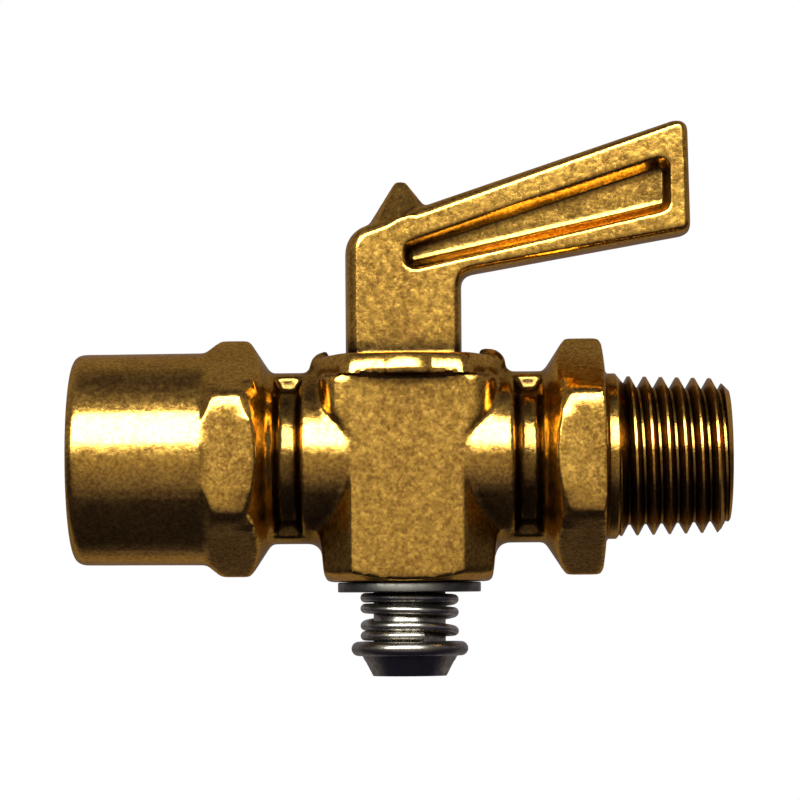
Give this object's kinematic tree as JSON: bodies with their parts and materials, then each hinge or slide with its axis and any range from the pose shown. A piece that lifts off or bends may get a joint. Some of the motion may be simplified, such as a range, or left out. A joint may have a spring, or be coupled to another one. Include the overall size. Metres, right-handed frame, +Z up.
{
  "type": "shut-off cock",
  "caption": "Straight forged brass shut-off cock with hex wrench collars, a female and a male pipe thread, and a spring-loaded tapered plug turned by a one-piece lever.",
  "frame": {"origin": "centre of the female end's mouth, on the axis of the run", "axes": "+X along the run from the female mouth to the male tip, +Z up along the plug's axis to the lever side, +Y away from the viewer of the picture"},
  "size_m": [0.0573, 0.0186, 0.0485],
  "materials": {
    "forged_brass": "hot-forged skin, turned at the threads",
    "dark_steel": "dark, oiled"
  },
  "bodies": {
    "housing": {"body": "forged_brass"},
    "plug": {"plug_lever": "forged_brass", "key_washer": "dark_steel", "spring": "dark_steel", "retaining_screw": "dark_steel"}
  },
  "joints": [
    {"name": "handle_turn", "type": "hinge", "parent": "housing", "child": "plug", "pos_m": [0.0293, 0, 0], "axis": [0, 0, 1], "range_deg": [-90, 0]}
  ]
}
